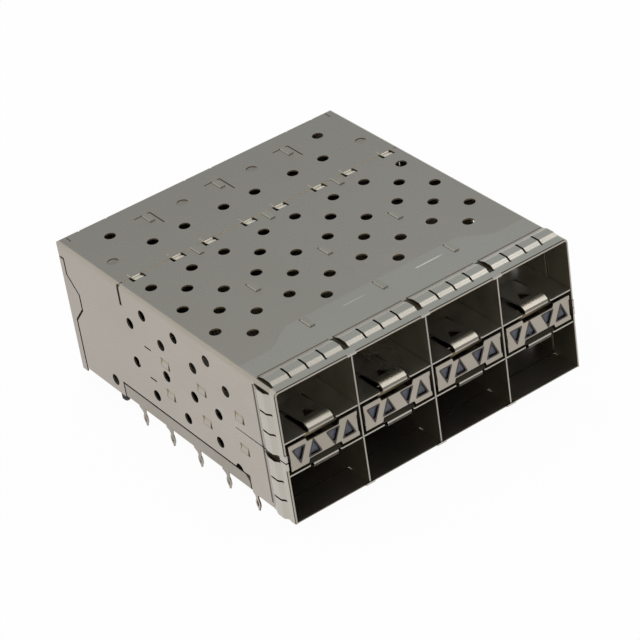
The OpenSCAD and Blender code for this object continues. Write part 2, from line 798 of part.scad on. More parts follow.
module nose(z) {
    chamfer = 0.6;
    y0 = port_depth;
    translate([0, 0, z]) along_x(nose_w) polygon([
        [y0, chamfer - nose_h / 2], [y0 + chamfer, -nose_h / 2], [body_y + 0.5, -nose_h / 2],
        [body_y + 0.5, nose_h / 2], [y0 + chamfer, nose_h / 2], [y0, nose_h / 2 - chamfer],
    ]);
}

module card_slot(z) {
    half = card_slot_h / 2;
    block([-card_slot_w / 2, port_depth - past, z - half],
        [card_slot_w / 2, port_depth + card_slot_len, z + half]);
    for (low = [z - half, z + half - contact_t]) {
        block([-contact_row / 2, port_depth, low], [contact_row / 2, body_y + wall + past, low + contact_t]);
    }
}

module peg() {
    tip = 0.5;
    translate([0, 0, tip - peg_len]) cylinder(r = peg_r, h = peg_len - tip + 0.1);
    translate([0, 0, -peg_len]) cylinder(r1 = peg_r - tip * 0.7, r2 = peg_r, h = tip);
}

module connector(k) color([0.09, 0.09, 0.1]) in_column(k) {
    rear = body_y + body_len;
    channel = pipe_step + pipe_t + 0.4;
    difference() {
        union() {
            block([-housing_w / 2, body_y, 0], [housing_w / 2, rear, body_h]);
            for (z = nose_zs) nose(z);
            for (p = pegs) translate(p) peg();
        }
        mirrored_x() block([pipe_x - pipe_t / 2 - 0.1, body_y - past, mid_z - channel / 2],
            [housing_w, rear + past, mid_z + channel / 2]);
        block([-cavity_w / 2, body_y + wall, -past], [cavity_w / 2, rear + past, body_h - wall]);
        for (z = nose_zs) card_slot(z);
    }
}

// Each row of contacts as [height of its upper face, place of its legs]
contact_rows = [
    for (i = [0:3]) [
        nose_zs[floor(i / 2)] + (i % 2 == 0 ? contact_t - card_slot_h / 2 : card_slot_h / 2),
        first_leg_y + i * leg_pitch,
    ],
];

function contact_x(i) = (i - (contacts_across - 1) / 2) * contact_pitch;

// One contact: a beam in the card slot, a bend and a leg down through the board
module contact(z, leg_y) {
    bend = 0.3;
    path = [[port_depth + 0.7, z], [leg_y - bend, z], [leg_y, z - bend], [leg_y, -tail_len]];
    along_x(contact_w) polygon(band(path, -contact_t));
}

module contacts(k) color([0.83, 0.66, 0.32]) in_column(k) {
    for (row = contact_rows) {
        for (i = [0:contacts_across - 1]) translate([contact_x(i), 0, 0]) contact(row[0], row[1]);
    }
}

module tail_guide(k) color([0.12, 0.12, 0.13]) in_column(k) {
    fit = 0.05;
    difference() {
        block([-cavity_w / 2 + fit, body_y + wall + fit, guide_z[0]],
            [cavity_w / 2 - fit, body_y + body_len - 0.2, guide_z[1]]);
        for (row = contact_rows) {
            for (i = [0:contacts_across - 1]) {
                block([contact_x(i) - contact_w / 2 - fit, row[1] - contact_t - fit, guide_z[0] - past],
                    [contact_x(i) + contact_w / 2 + fit, row[1] + fit, guide_z[1] + past]);
            }
        }
    }
}

// ---- Gasket collars ----

// Outer face of a gang from the collar's front edge to the gang's rear edge, over the sheet
finger_path = [
    [0, spring_t],
    for (i = [0:ramp_steps]) let (t = i / ramp_steps) [
        ramp_y[0] + t * (ramp_y[1] - ramp_y[0]),
        spring_t + t * t * (3 - 2 * t) * (finger_rise - spring_t)
    ],
    [level_end - 0.15, finger_rise - 0.01], [level_end + 0.15, finger_rise - 0.08],
    [finger_len - 0.35, spring_t + 0.04], [finger_len - 0.15, spring_t], [finger_len, spring_t],
];

// Slots between the fingers of a gang from a to b, across the path of the strip
module finger_slots(a, b, fingers) {
    for (i = [1:fingers - 1]) {
        x = a + (b - a) * i / fingers;
        translate([x - finger_slot / 2, collar_y + band_w]) square([finger_slot, slot_len]);
    }
}

// A gang of fingers that reaches from a to b along X, standing up from Z = 0, with a hook down into the
// sheet along its rear edge
module gang(a, b, fingers, hook) {
    difference() {
        union() {
            translate([(a + b) / 2, collar_y, 0]) along_x(b - a) polygon(band(finger_path, -spring_t));
            block([a, hook_y - 0.2, 0], [b, hook_y, spring_t]);
            block([hook[0], hook_y - 0.01, -sheet * 0.9], [hook[1], hook_y + spring_t, spring_t]);
        }
        translate([0, 0, -past]) linear_extrude(finger_rise + 2 * past) finger_slots(a, b, fingers);
    }
}

// Ends of the gang over column k
function gang_ends(k) =
    let (middle = column_x(k) + gang_shift)
    [middle - gang_w / 2, min(middle + gang_w / 2, wall_x - edge_r + 0.1)];

// Slits in a top or bottom sheet, centred on height z, for the rear edges of the gangs
module top_hook_slots(z) {
    low = z - sheet / 2 - 0.3;
    high = z + sheet / 2 + 0.3;
    for (k = [1:columns]) {
        ends = gang_ends(k);
        block([ends[0] - slit_w, hook_y - 0.04, low], [ends[1] + slit_w, hook_y + spring_t + slit_w, high]);
        for (x = [ends[0] - slit_w, ends[1] + 0.03]) {
            block([x, hook_y - slit_return, low], [x + slit_w - 0.03, hook_y, high]);
        }
    }
}

// Section of the cage at its mouth, grown by g
module mouth_section(g) {
    difference() {
        translate([-wall_x - g, -g]) square([2 * (wall_x + g), cage_h + 2 * g]);
        for (s = [-1, 1]) round_off([s * (wall_x + g), cage_h + g], [-s, -1], edge_r + g);
        if (g > 0) for (s = [-1, 1]) round_off([s * (wall_x + g), -g], [-s, 1], g);
    }
}

// Front band of a collar between two heights
module collar_band(z0, z1) {
    translate([0, collar_y, 0]) along_y(band_w + 0.1) intersection() {
        difference() {
            mouth_section(spring_t);
            mouth_section(0);
        }
        translate([-wall_x - past, z0]) square([2 * (wall_x + past), z1 - z0]);
    }
}

// Section of a clasp round the mouth's edge, in Y and Z, with its outside edge rounded by a chamfer
clasp = [
    [0, -sheet - 0.03], [-spring_t, -sheet - 0.03], [-spring_t, spring_t * 0.2], [-spring_t * 0.2, spring_t],
    [collar_y + 0.1, spring_t], [collar_y + 0.1, 0], [0, 0],
];

// Gangs along the top, with the clasps over the mouth in front of the dividers
module long_gangs() {
    for (k = [1:columns]) {
        ends = gang_ends(k);
        gang(ends[0], ends[1], top_fingers, ends + [0.1, -0.1]);
    }
    for (k = [1:columns - 1]) translate([divider_x(k), 0, 0]) along_x(2 * clasp_w) polygon(clasp);
}

// What stands up from Z = 0 with its X to the left of the part, set against both side walls
module on_side_walls() mirrored_x() translate([wall_x, 0, 0]) rotate([0, 90, 0]) children();

// Side gang i, the lower or the upper one, and the clasp from height z up round the mouth's side edge
module side_gang(i, z) {
    reach = side_gangs[i];
    hook = [max(reach[0], side_slots[i][0]) + 0.05, min(reach[1], side_slots[i][1]) - 0.05];
    on_side_walls() {
        gang(-reach[1], -reach[0], side_fingers, [-hook[1], -hook[0]]);
        translate([-z - clasp_h / 2, 0, 0]) along_x(clasp_h) polygon(clasp);
    }
}

module gasket_upper() color([0.74, 0.72, 0.66]) seated() {
    collar_band(split_z + collar_gap / 2, cage_h + past);
    translate([0, 0, cage_h]) long_gangs();
    side_gang(1, split_z + collar_gap / 2);
}

module gasket_lower() color([0.74, 0.72, 0.66]) seated() {
    collar_band(-past, split_z - collar_gap / 2);
    mirror([0, 0, 1]) long_gangs();
    side_gang(0, split_z - collar_gap / 2 - clasp_h);
}

// ---- Assembly ----

cage_shell();
bottom_plate();
gasket_upper();
gasket_lower();
for (k = [1:columns - 1]) {
    divider(k);
}
for (k = [1:columns]) {
    core_plates(k);
    face_plate(k);
    light_pipes(k);
    connector(k);
    contacts(k);
    tail_guide(k);
}
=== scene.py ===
"""Finished look of a stacked transceiver cage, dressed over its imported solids.

Metres, in the part's own frame: X runs across the ports, Y from the mouth (-Y) to the rear wall, and
Z = 0 is the face that sits on the circuit board. The patterns of the finishes are placed in millimetres.
"""
import math

import bmesh
import bpy
from mathutils import Matrix, Vector


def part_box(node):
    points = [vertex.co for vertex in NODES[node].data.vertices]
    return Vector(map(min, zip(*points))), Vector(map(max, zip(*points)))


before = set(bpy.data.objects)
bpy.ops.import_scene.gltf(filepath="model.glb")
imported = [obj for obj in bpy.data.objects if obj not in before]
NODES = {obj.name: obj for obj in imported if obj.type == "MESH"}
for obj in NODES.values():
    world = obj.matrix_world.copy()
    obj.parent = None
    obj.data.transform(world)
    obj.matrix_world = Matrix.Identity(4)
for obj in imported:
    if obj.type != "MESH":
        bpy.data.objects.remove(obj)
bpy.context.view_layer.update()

MM = 0.001

# ---- Sizes of the cage, in millimetres ----

SHEET = 0.25
PITCH = 14.25                                 # from column to column
SHELL_LOW, SHELL_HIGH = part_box("cage_shell")
HALF_WIDTH = SHELL_HIGH.x / MM
MOUTH = SHELL_LOW.y / MM
REAR = SHELL_HIGH.y / MM
TOP = SHELL_HIGH.z / MM
PIN_TIP = SHELL_LOW.z / MM
CORE_LOW, CORE_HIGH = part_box("core_plates_1")
RISE = 1.0                                    # how far a latch tongue stands over its plate
UPPER_PLATE = CORE_HIGH.z / MM - RISE         # top of the upper plates
LOWER_PLATE = CORE_LOW.z / MM + RISE          # underside of the lower plates
MIDDLE = (UPPER_PLATE + LOWER_PLATE) / 2      # height of the light-pipe windows

HOOK = MOUTH + 5.6                            # rear edge of the spring fingers
CREASE = MOUTH + 10.0                         # end of the painted sheen on the top's front, near both sides
PRESSED_LINE = MOUTH + 11.4
SEAM = MOUTH + 43.6                           # front edge of the gap across the top and down the walls
TAB_SLIT = REAR - 4.6                         # rear end of the slits round the rear tabs

FOLD, REAR_FOLD = 1.05, 0.65                  # room for the long folds and for those of the rear wall
SKIN = 0.02                                   # depth to which a point counts as on a face
FLAT_ON, EDGE_ON = 0.9, 0.1                   # least and most that such a face looks along an axis
LANCE_START, LANCE_LENGTH = MOUTH + 10.6, 2.7
LANCE_PITCH, LANCES = 10.4, 3                 # along one row of side lances
STITCH_SHIFT = 0.35                           # from a column's middle to that of its pair of stitches
STITCH_ASIDE = 3.95                           # from there to each stitch
WINDOW_IN, WINDOW_OUT = 1.85, 4.65            # from a column's middle to its windows
WINDOW_HALF, WINDOW_RISE = 1.025, 1.2         # half a window's width and height


# ---- Camera and lamps ----


def add_camera():
    """A long lens, from the front left and above."""
    lens = bpy.data.cameras.new("camera")
    lens.lens = 150.23
    lens.sensor_width = 36
    lens.clip_start = 0.01
    camera = bpy.data.objects.new("camera", lens)
    right = Vector((0.79827, -0.58822, -0.12949))
    up = Vector((0.41588, 0.38280, 0.82493))
    back = Vector((-0.43567, -0.71237, 0.55020))
    place = Vector((-0.19100, -0.31307, 0.25052))
    camera.matrix_world = Matrix.Translation(place) @ Matrix((right, up, back)).transposed().to_4x4()
    bpy.context.scene.collection.objects.link(camera)
    bpy.context.scene.camera = camera


def add_lamp(name, place, target, size, power, colour):
    """A rectangular soft lamp that looks at its target."""
    light = bpy.data.lights.new(name, "AREA")
    light.shape = "RECTANGLE"
    light.size, light.size_y = size
    light.energy = power
    light.color = colour
    lamp = bpy.data.objects.new(name, light)
    aim = (Vector(target) - Vector(place)).to_track_quat("-Z", "Y")
    lamp.matrix_world = Matrix.Translation(place) @ aim.to_matrix().to_4x4()
    bpy.context.scene.collection.objects.link(lamp)


# ---- Shader graphs written as expressions ----


class Flow:
    """One output socket of a shader graph, on which Python's operators add Math nodes."""

    def __init__(self, graph, socket):
        self.graph = graph
        self.socket = socket

    def math(self, operation, *terms):
        """Adds a Math node of any operation."""
        return self.graph.node("ShaderNodeMath", {"operation": operation}, dict(enumerate(terms)))

    def __add__(self, other):
        return self.math("ADD", self, other)

    def __radd__(self, other):
        return self.math("ADD", other, self)

    def __sub__(self, other):
        return self.math("SUBTRACT", self, other)

    def __rsub__(self, other):
        return self.math("SUBTRACT", other, self)

    def __mul__(self, other):
        return self.math("MULTIPLY", self, other)

    def __rmul__(self, other):
        return self.math("MULTIPLY", other, self)

    def __abs__(self):
        return self.math("ABSOLUTE", self)

    def above(self, limit):
        return self.math("GREATER_THAN", self, limit)

    def below(self, limit):
        return self.math("LESS_THAN", self, limit)

    def either(self, other):
        """The greater of two masks or numbers."""
        return self.math("MAXIMUM", self, other)

    def least(self, other):
        """The lesser of two distances."""
        return self.math("MINIMUM", self, other)

    def wrapped(self, period):
        """What is left over past the last whole period."""
        return self.math("WRAP", self, period, 0.0)

    def near(self, place, reach, soft=0.04):
        """1 within reach of a place, fading out over soft."""
        return abs(self - place).ramp(reach + soft, reach)

    def ramp(self, low, high):
        """0 at low, 1 at high, smooth between them and level outside; low may be the greater."""
        return self.graph.node(
            "ShaderNodeMapRange",
            {"interpolation_type": "SMOOTHSTEP"},
            {"Value": self, "From Min": low, "From Max": high},
        )


class Graph:
    """The node tree of a material or a world."""

    def __init__(self, owner):
        owner.use_nodes = True
        self.tree = owner.node_tree
        self.tree.nodes.clear()

    def plug(self, socket, value):
        """Links a flow to a socket, or sets the socket to a plain value."""
        if isinstance(value, Flow):
            self.tree.links.new(value.socket, socket)
        else:
            socket.default_value = value

    def node(self, kind, settings=None, inputs=None, output=0):
        """Adds any node: its settings first, then its sockets by name or number."""
        made = self.tree.nodes.new(kind)
        for name, value in (settings or {}).items():
            if name == "stops":
                fill_ramp(made.color_ramp, value)
            else:
                setattr(made, name, value)
        for name, value in (inputs or {}).items():
            self.plug(made.inputs[name], value)
        return Flow(self, made.outputs[output])

    def end(self, kind, result):
        """Links the result to the tree's output node."""
        out = self.tree.nodes.new(kind)
        self.tree.links.new(result.socket, out.inputs[0])

    def rays(self, first, *others):
        """1 for rays of the named kinds."""
        path = self.node("ShaderNodeLightPath").socket.node
        return sum((Flow(self, path.outputs[name]) for name in others), Flow(self, path.outputs[first]))

    def split(self, vector):
        """The three numbers of a vector."""
        parts = self.node("ShaderNodeSeparateXYZ", inputs={0: vector}).socket.node
        return [Flow(self, socket) for socket in parts.outputs]

    def mix(self, factor, first, second, blend="MIX"):
        """The first colour at factor 0, the second at 1."""
        return self.node(
            "ShaderNodeMix",
            {"data_type": "RGBA", "blend_type": blend},
            {0: factor, 6: first, 7: second},
            output=2,
        )

    def coated(self, colour, *coats):
        """A colour with others laid over it in order, each given with its mask."""
        for mask, coat in coats:
            colour = self.mix(mask, colour, coat)
        return colour


def fill_ramp(ramp, stops):
    """Gives a colour ramp its stops, each a place and a colour."""
    while len(ramp.elements) > 1:
        ramp.elements.remove(ramp.elements[-1])
    ramp.elements[0].position, ramp.elements[0].color = stops[0]
    for place, colour in stops[1:]:
        ramp.elements.new(place).color = colour


class Finish(Graph):
    """A material whose shader takes plain numbers now and patterns through put()."""

    def __init__(self, name, **constants):
        self.material = bpy.data.materials.new(name)
        super().__init__(self.material)
        self.shader = self.tree.nodes.new("ShaderNodeBsdfPrincipled")
        self.end("ShaderNodeOutputMaterial", Flow(self, self.shader.outputs[0]))
        self.put(**constants)
        self.object = self.node("ShaderNodeTexCoord", output="Object")

    def put(self, **values):
        """Plugs values into the shader's sockets, named in lower case with underscores."""
        for name, value in values.items():
            self.plug(self.shader.inputs[name.replace("_", " ").title().replace("Ior", "IOR")], value)

    def place(self):
        """The point on the piece as three numbers, in millimetres."""
        return [part * (1 / MM) for part in self.split(self.object)]

    def facing(self):
        """How far the flat faces look along X, Y and Z, without a sign."""
        return [abs(part) for part in self.split(self.node("ShaderNodeNewGeometry", output="True Normal"))]

    def noise(self, scale, detail=2.0, roughness=0.5):
        """Noise from 0 to 1 with scale features a metre along X, Y and Z."""
        place = self.node("ShaderNodeMapping", inputs={"Vector": self.object, "Scale": scale})
        return self.node(
            "ShaderNodeTexNoise",
            inputs={"Vector": place, "Scale": 1.0, "Detail": detail, "Roughness": roughness},
        )

    def bump(self, height, strength, distance):
        """Relief of a height from 0 to 1 that stands for a distance in metres."""
        self.put(normal=self.node(
            "ShaderNodeBump",
            inputs={"Height": height, "Strength": strength, "Distance": distance},
        ))


def tone(red, green, blue):
    """A colour given as it looks on a screen, 0 to 255."""
    parts = (part / 255 for part in (red, green, blue))
    linear = [part / 12.92 if part <= 0.04045 else ((part + 0.055) / 1.055) ** 2.4 for part in parts]
    return (*linear, 1)


# ---- Finishes of the folded sheets ----

PAINTED_PORT_SHADE = tone(160, 152, 126)               # painted tint and shade of the light that the walls of the ports bounce to each other


def rolled_sheet(finish, light, dark, grain_along="y", relief=0.05):
    """Colour and roughness of satin sheet: fine rolling grain, faint smudges and small specks."""
    along, across = 90.0, 7000.0
    scale = (across, along, across) if grain_along == "y" else (along, across, across)
    grain = finish.noise(scale, detail=3.0, roughness=0.6)
    smudge = finish.noise((70.0, 55.0, 70.0), detail=4.0, roughness=0.55).ramp(0.3, 0.7)
    speck = finish.noise((2600.0, 2600.0, 2600.0), detail=1.0).ramp(0.62, 0.75)
    finish.bump(grain + speck * 0.1, relief, 0.00002)
    colour = finish.mix(smudge * 0.6 + grain.ramp(0.2, 0.8) * 0.3, light, dark)
    return colour, grain * 0.06 + smudge * 0.05 + speck * 0.03


def inner_dullness(finish):
    """How far the walls of the ports scatter light, in patches; less in the lower ports."""
    patch = finish.noise((260.0, 260.0, 260.0)).ramp(0.35, 0.65)
    return (patch * 0.6 + 0.7) * (finish.place()[2].ramp(LOWER_PLATE, UPPER_PLATE) * 0.07 + 0.03)


def from_column(x):
    """How far to the right of its own column's middle a point is."""
    return x.wrapped(PITCH) - PITCH / 2


class Spot:
    """A point on the shell, how far its face looks across, along and up, and masks of the top and walls."""

    def __init__(self, finish):
        self.x, self.y, self.z = finish.place()
        self.side = abs(self.x)
        self.across, self.along, self.up = finish.facing()
        self.top = self.z.above(TOP - SKIN)
        self.wall = self.side.above(HALF_WIDTH - SKIN)


def cut_edges(at):
    """Cut edges of the top, the side walls and the rear: within the sheet's thickness, looking along it."""
    ahead = at.y.below(REAR - REAR_FOLD)
    roof = at.z.above(TOP - SHEET) * at.side.below(HALF_WIDTH - FOLD) * ahead * at.up.below(EDGE_ON)
    walls = at.side.above(HALF_WIDTH - SHEET) * at.z.below(TOP - FOLD) * ahead * at.across.below(EDGE_ON)
    back = at.y.above(REAR - SHEET) * at.side.below(HALF_WIDTH - REAR_FOLD) * at.z.below(TOP - REAR_FOLD)
    return roof, walls, back * at.along.below(EDGE_ON)


def seam_edges(at, roof):
    """Painted highlights on the cut edges beside the seam, without the stitches' notches, and the breadth of
    the stitches.
    """
    pair = from_column(at.x) - STITCH_SHIFT
    stitch = pair - pair.math("SIGN", pair) * STITCH_ASIDE
    notch = stitch.near(-1.13, 0.3).either(stitch.near(1.0, 0.17)) * at.y.below(SEAM + 0.2)
    light = roof * at.y.near(SEAM + 0.8, 0.85).either(at.y.near(SEAM, 0.3)) * (1 - notch)
    return light, stitch.near(0.0, 0.82)


def side_lances(at):
    """The lances of both walls, a painted highlight on their far ends, and painted shadow at their ends
    towards the mouth.
    """
    behind = (at.y - LANCE_START).wrapped(LANCE_PITCH)
    row = at.y.above(LANCE_START - 0.1) * at.y.below(LANCE_START + LANCES * LANCE_PITCH)
    height = at.z.near(LOWER_PLATE - 0.65, 0.85).either(at.z.near(UPPER_PLATE - 0.9, 0.85))
    lances = at.side.above(HALF_WIDTH - 0.7) * row * behind.below(LANCE_LENGTH) * height
    lit_far_end = lances * at.along.above(FLAT_ON) * behind.above(1.5)
    shaded_near_end = lances * behind.below(0.62) * at.side.below(HALF_WIDTH - 0.005)
    return lances, lit_far_end, shaded_near_end


def side_slots(at):
    """Painted shade in and beside the slots down both sides, for the gasket's hooked edges and where the
    seam runs into the walls.
    """
    hooks = at.y.near(HOOK + 0.35, 0.28, 0.05) * at.z.below(TOP - FOLD) * at.z.above(1.0)
    seam = at.y.near(SEAM + 0.22, 0.34, 0.05) * at.z.near(TOP - 2.0, 2.05)
    return hooks.either(seam) * at.side.above(HALF_WIDTH - SHEET - SKIN)


def rear_slits(at):
    """Painted shade along the borders of the slits round the rear tabs."""
    from_divider = at.x.wrapped(PITCH)
    ends = at.y.near(TAB_SLIT - 0.08, 0.12) * from_divider.below(1.7).either(from_divider.above(PITCH - 1.6))
    sides = from_divider.near(1.57, 0.12) * at.y.above(TAB_SLIT - 4.6) * at.y.below(TAB_SLIT)
    return at.top * ends.either(sides) * at.side.below(HALF_WIDTH - PITCH + 2)


def seam_border(at):
    """Painted shade along the borders of the gap across the top."""
    return at.top * at.y.near(SEAM + 0.07, 0.13) * at.side.below(HALF_WIDTH - 0.7)


def stitch_slopes(at):
    """Painted highlight on the slopes of the stitch tongues, which dip under the rear panel."""
    slope = at.up.above(0.15) * at.up.below(0.98) * at.y.near(SEAM - 0.6, 1.2)
    return slope * at.z.above(TOP - 0.7) * at.side.below(HALF_WIDTH - 1)


def painted_sheen_on_front(at):
    """Painted sheen on the front of the top, standing in for a slight tilt of the sheet there; it ends on a
    line that steps forward near both sides.
    """
    crease = CREASE + at.side.ramp(HALF_WIDTH - 6.0, HALF_WIDTH - 12.5) * 3.6
    return (crease - at.y).ramp(-0.1, 0.1) * at.top


def glints_on_pressed_lines(at):
    """Painted glints along two thin lines pressed into the top behind the fingers, the left one fainter."""
    right = at.x.ramp(6.8, 7.4) * at.x.ramp(13.0, 11.0)
    left = at.x.ramp(-7.6, -7.0) * at.x.ramp(-2.6, -4.0) * 0.35
    return at.y.near(PRESSED_LINE, 0.07, 0.08) * at.top * (right + left)


def cage_sheet():
    """The shell: brown cut edges, painted shade in its slits, slots and under the fingers, painted
    highlights on the stitch tongues, the seam's edges and the lances' far ends, and a painted sheen on the
    front of its top.
    """
    finish = Finish("cage_sheet", specular_ior_level=0.15)
    colour, wear = rolled_sheet(finish, tone(173, 166, 156), tone(166, 159, 149), relief=0.02)
    at = Spot(finish)
    roof, walls, back = cut_edges(at)
    light, stitched = seam_edges(at, roof)
    lances, lit_far_end, shaded_near_end = side_lances(at)
    slot_shade = side_slots(at)
    cut = roof.either(walls * (1 - lances)).either(back) * at.y.above(MOUTH + 0.01) * (1 - light)
    shade_under_fingers = at.y.below(HOOK - 0.1) * at.y.above(MOUTH + 0.1) * at.wall.either(at.top)
    inside = at.side.below(HALF_WIDTH - 0.2) * at.z.below(TOP - 0.2) * at.y.below(REAR - 0.2)
    colour = finish.coated(
        colour,
        (at.across.above(FLAT_ON) * at.wall * at.y.ramp(MOUTH, REAR - 5), tone(163, 155, 145)),
        # brown cut edges; those of the walls are darker, with painted shade of the slots they line
        (cut, finish.mix(walls, tone(112, 92, 70), tone(74, 64, 50))),
        # painted highlight on the cut edges beside the seam, brightest at the stitches
        (light, finish.mix(stitched, tone(222, 206, 178), tone(250, 246, 236))),
        # painted highlight on the far ends of the lances
        (lit_far_end, tone(212, 202, 188)),
        # painted shadow in the gap at the lances' ends towards the mouth
        (shaded_near_end, tone(84, 73, 58)),
        # painted shade in and beside the slots down both walls
        (slot_shade, tone(66, 56, 43)),
        # painted shade on the sheet under the spring fingers, seen through their slits and ends
        (shade_under_fingers, tone(54, 48, 36)),
        # painted shade beside the slits round the rear tabs
        (rear_slits(at) * 0.8, tone(112, 96, 72)),
        # painted shade beside the gap across the top
        (seam_border(at) * 0.6, tone(146, 130, 104)),
        # painted highlight on the slopes of the stitch tongues
        (stitch_slopes(at), tone(238, 232, 220)),
        # painted sheen on the front of the top, where the sheet tilts slightly
        (painted_sheen_on_front(at) * 0.5 * (1 - shade_under_fingers), tone(184, 180, 172)),
        # painted glints along the pressed lines
        (glints_on_pressed_lines(at), tone(250, 246, 238)),
        # painted tint and shade of light bounced between the walls inside the ports
        (inside * 0.6, PAINTED_PORT_SHADE),
    )
    dull = light.either(lit_far_end).either(cut * 0.4).either(shade_under_fingers).either(slot_shade * 0.6)
    dull = dull.either(inside * inner_dullness(finish))
    finish.put(
        base_color=colour,
        roughness=wear + (cut * 0.2).either(inside * 0.1) + 0.22,
        metallic=1 - dull,
    )
    return finish.material


def divider_sheet():
    """The dividers, with a painted tint and shade of bounced light where they stand between the ports."""
    finish = Finish("divider_sheet")
    colour, wear = rolled_sheet(finish, tone(172, 167, 157), tone(156, 151, 141))
    y, z = finish.place()[1:]
    inside = y.above(MOUTH + 0.2) * z.above(0.0) * z.below(TOP - 0.3)
    finish.put(
        # painted tint and shade of light bounced between the ports, over the dividers' inner parts
        base_color=finish.mix(inside * 0.6, colour, PAINTED_PORT_SHADE),
        roughness=wear + 0.3,
        metallic=1 - inner_dullness(finish),
    )
    return finish.material


def floor_sheet():
    """The bottom plate, dull and dark on its front edge, with painted shade in the slot of the gasket's
    hook.
    """
    finish = Finish("floor_sheet")
    colour, wear = rolled_sheet(finish, tone(158, 151, 141), tone(148, 141, 131))
    y = finish.place()[1]
    # dark front edge, and painted shade in the slot of the gasket's hook
    edge = y.below(MOUTH + 0.22).either(y.near(HOOK + 0.25, 0.08))
    finish.put(
        base_color=finish.mix(edge, colour, tone(52, 48, 40)),
        roughness=wear + edge * 0.2 + 0.3,
        metallic=1 - inner_dullness(finish),
    )
    return finish.material


def core_sheet():
    """The plates between the rows: their tongues' lips are dull, with painted shade in brown behind the
    light front edges, lighter to the left on the upper lips; the noses also carry painted shade, and the
    upper crests a painted highlight.
    """
    finish = Finish("core_sheet", specular_ior_level=0.1)
    colour, wear = rolled_sheet(finish, tone(180, 174, 164), tone(168, 162, 152), relief=0.015)
    x, y, z = finish.place()
    up = finish.facing()[2]
    # the tongues' lips, which carry painted shade
    lip = y.below(MOUTH + 1.0) * z.above(LOWER_PLATE + SHEET) * z.below(UPPER_PLATE - SHEET)
    lip = lip.either(y.below(MOUTH + 2.5) * z.below(MIDDLE) * up.above(0.3))
    # painted shade on the upper lips, lighter towards the left of each column
    upper_lip_shade = finish.mix(from_column(x).ramp(2.0, -3.0), tone(70, 64, 50), tone(128, 115, 92))
    # painted shade on the noses of the tongues, darker on the lower ones
    upper_nose = z.above(UPPER_PLATE + SKIN) * z.below(UPPER_PLATE + 0.42)
    lower_nose = z.above(LOWER_PLATE - 0.42) * z.below(LOWER_PLATE - SKIN)
    nose = upper_nose.either(lower_nose) * y.below(MOUTH + 0.3)
    # painted highlight on the crests of the upper tongues
    crest_highlight = z.above(UPPER_PLATE + 0.45) * y.below(MOUTH + 1.5)
    finish.put(
        base_color=finish.coated(
            colour,
            # painted shade on the lips, darkest on the lower ones
            (lip, finish.mix(z.above(MIDDLE), tone(44, 41, 32), upper_lip_shade)),
            # painted shade on the tongues' noses
            (nose, finish.mix(z.above(UPPER_PLATE), tone(60, 57, 48), tone(122, 117, 108))),
            (crest_highlight, tone(206, 199, 186)),
        ),
        roughness=wear + lip * 0.2 + 0.23,
        metallic=(1 - inner_dullness(finish)) * (1 - lip),
    )
    return finish.material


def face_sheet():
    """Matte face plates, with the shaded rim of each window."""
    finish = Finish("face_sheet", metallic=1.0)
    colour, wear = rolled_sheet(finish, tone(172, 164, 153), tone(156, 149, 138), relief=0.04)
    x, _, z = finish.place()
    place = from_column(x)
    height = z - MIDDLE
    point_up = beyond_window(abs(place + WINDOW_IN).least(abs(place - WINDOW_OUT)), height)
    point_down = beyond_window(abs(place + WINDOW_OUT).least(abs(place - WINDOW_IN)), height * -1)
    rim = point_up.least(point_down).ramp(0.32, 0.18)
    finish.put(base_color=finish.mix(rim, colour, tone(70, 66, 64)), roughness=wear + 0.36)
    return finish.material


def beyond_window(aside, height):
    """Distance outside a window with its point up, of what is so far aside and above its middle."""
    slant = math.hypot(2 * WINDOW_RISE, WINDOW_HALF)
    aside = aside.math("SMOOTH_MAX", aside, aside * -1, 0.5)
    edge = aside * (2 * WINDOW_RISE / slant) + height * (WINDOW_HALF / slant)
    edge = edge - WINDOW_HALF * WINDOW_RISE / slant
    return edge.math("SMOOTH_MAX", edge, height * -1 - WINDOW_RISE, 0.6)


def spring_strip():
    """Spring strip with its grain across the fingers, brown where its rear edge is hooked into the sheet,
    with a band of painted shade ahead of that edge and painted shade on the hooks of the bottom strips.
    """
    finish = Finish("spring_strip", metallic=1.0)
    light, dark = tone(186, 181, 171), tone(178, 173, 163)
    colour, wear = rolled_sheet(finish, light, dark, grain_along="x", relief=0.015)
    x, y, z = finish.place()
    hook = y.ramp(HOOK - 0.1, HOOK - 0.04)
    below = z.below(SHEET + 1.2) * abs(x).below(HALF_WIDTH - 1)
    finish.put(
        base_color=finish.coated(
            colour,
            # painted shade on the band just ahead of the rear edge
            (y.near(HOOK - 0.5, 0.4, 0.2), tone(160, 154, 145)),
            (hook, tone(112, 95, 74)),
            # painted shade on the hooks of the bottom strips
            (below * hook, tone(34, 32, 27)),
        ),
        roughness=wear + 0.2,
    )
    return finish.material


# ---- Finishes of the other pieces ----


def moulded_black(name, colour):
    """Glass-filled moulding with a fine, dull texture."""
    finish = Finish(name)
    cloud = finish.noise((300.0, 300.0, 300.0), detail=3.0)
    fibre = finish.noise((5000.0, 5000.0, 5000.0), detail=2.0)
    cloudy = (*(part * 1.7 for part in colour[:3]), 1)
    finish.put(base_color=finish.mix(cloud * 0.5, colour, cloudy), roughness=fibre * 0.15 + 0.5)
    finish.bump(fibre, 0.25, 0.00003)
    return finish.material


def gold_plating():
    """Thin gold, slightly streaked along the contacts."""
    finish = Finish("gold_plating", metallic=1.0)
    flow = finish.noise((3000.0, 200.0, 3000.0), detail=2.0)
    finish.put(
        base_color=finish.mix(flow, tone(222, 184, 110), tone(196, 152, 84)),
        roughness=0.22 + flow * 0.16,
    )
    return finish.material


